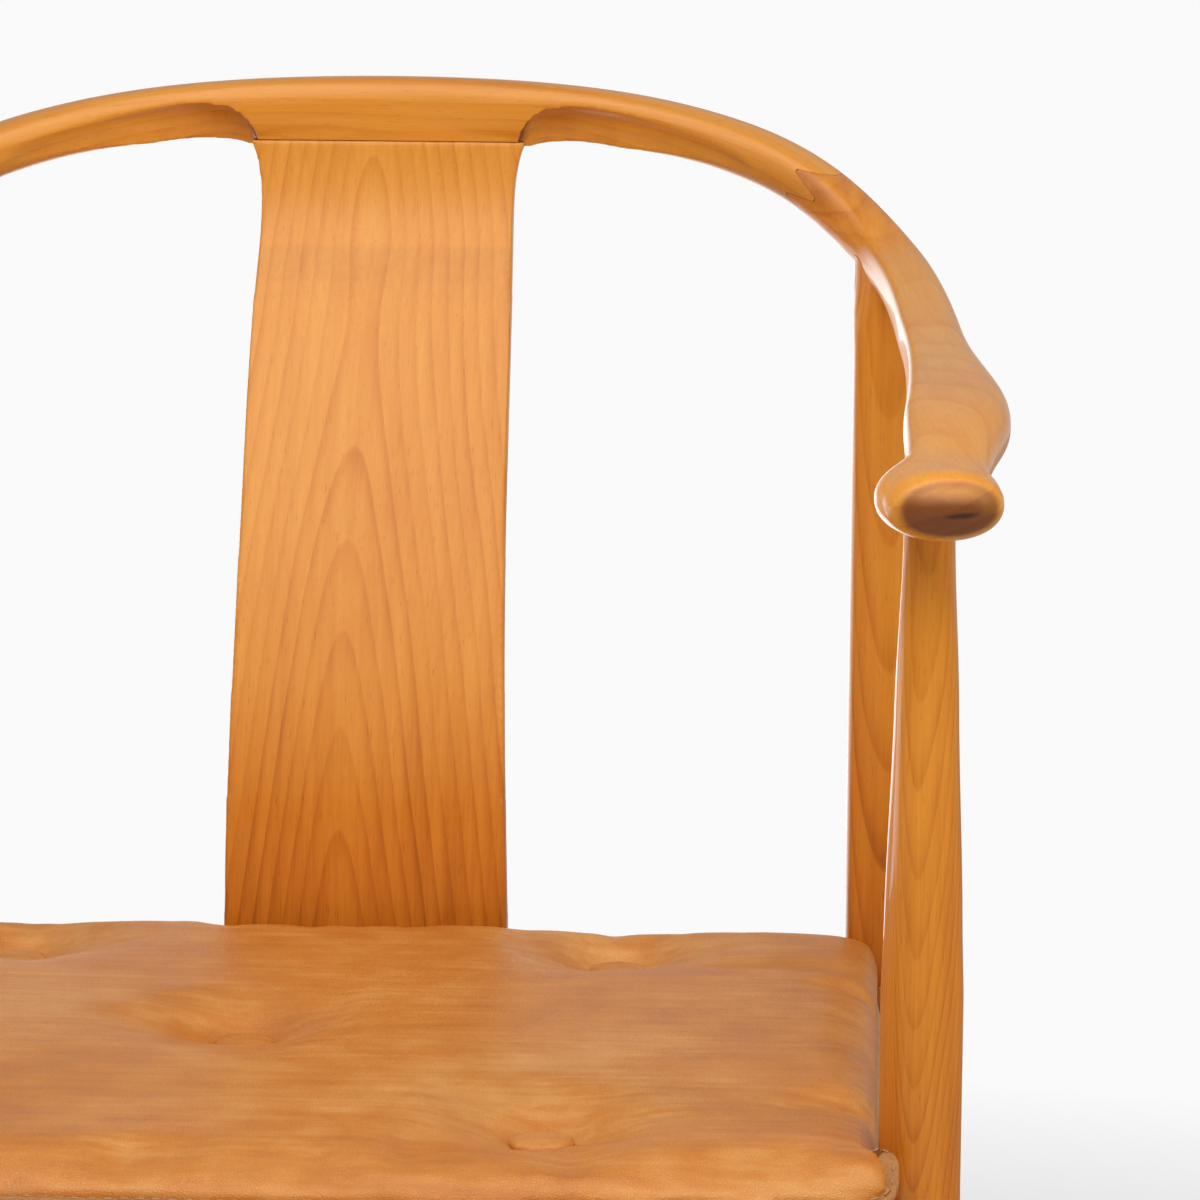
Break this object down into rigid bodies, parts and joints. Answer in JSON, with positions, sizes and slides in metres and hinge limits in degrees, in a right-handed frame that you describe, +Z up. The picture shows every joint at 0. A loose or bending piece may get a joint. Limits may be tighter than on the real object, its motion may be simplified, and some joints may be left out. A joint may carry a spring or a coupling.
{
  "type": "armchair",
  "caption": "Horseshoe back armchair in cherry with a curved back splat, finger-jointed arms and a loose buttoned leather cushion",
  "frame": {"origin": "on the floor, below the middle of the chair's bounding box", "axes": "+X to the right as the chair is seen from the front, +Y towards its back, +Z up"},
  "size_m": [0.5554, 0.5499, 0.82],
  "materials": {
    "cherry": "solid cherry, oiled satin",
    "beech": "planed beech, bare",
    "plywood": "sanded birch plywood",
    "leather": "natural tan hide, soft sheen",
    "padding": "wrapped wadding",
    "cord": "waxed twine",
    "screw_steel": "zinc plated",
    "glide_plastic": "matt nylon"
  },
  "bodies": {
    "frame": {"crest_rail": "cherry", "arm_right": "cherry", "arm_left": "cherry", "back_splat": "cherry", "front_leg_right": "cherry", "front_leg_left": "cherry", "rear_leg_right": "cherry", "rear_leg_left": "cherry", "front_seat_rail": "cherry", "rear_seat_rail": "cherry", "side_seat_rail_right": "cherry", "side_seat_rail_left": "cherry", "front_stretcher": "cherry", "rear_stretcher": "cherry", "side_stretcher_right": "cherry", "side_stretcher_left": "cherry", "corner_block_front_right": "beech", "corner_block_front_left": "beech", "corner_block_rear_right": "beech", "corner_block_rear_left": "beech", "seat_panel": "plywood", "seat_panel_screws": "screw_steel", "corner_block_screws": "screw_steel", "leg_glides": "glide_plastic"},
    "cushion": {"cushion_cover": "leather", "cushion_core": "padding", "cushion_buttons": "leather", "cushion_underside_buttons": "leather", "tufting_cords": "cord"}
  },
  "joints": [
    {"name": "cushion_lift", "type": "slide", "parent": "frame", "child": "cushion", "axis": [0, 0, 1], "range_m": [0, 0.18]}
  ]
}
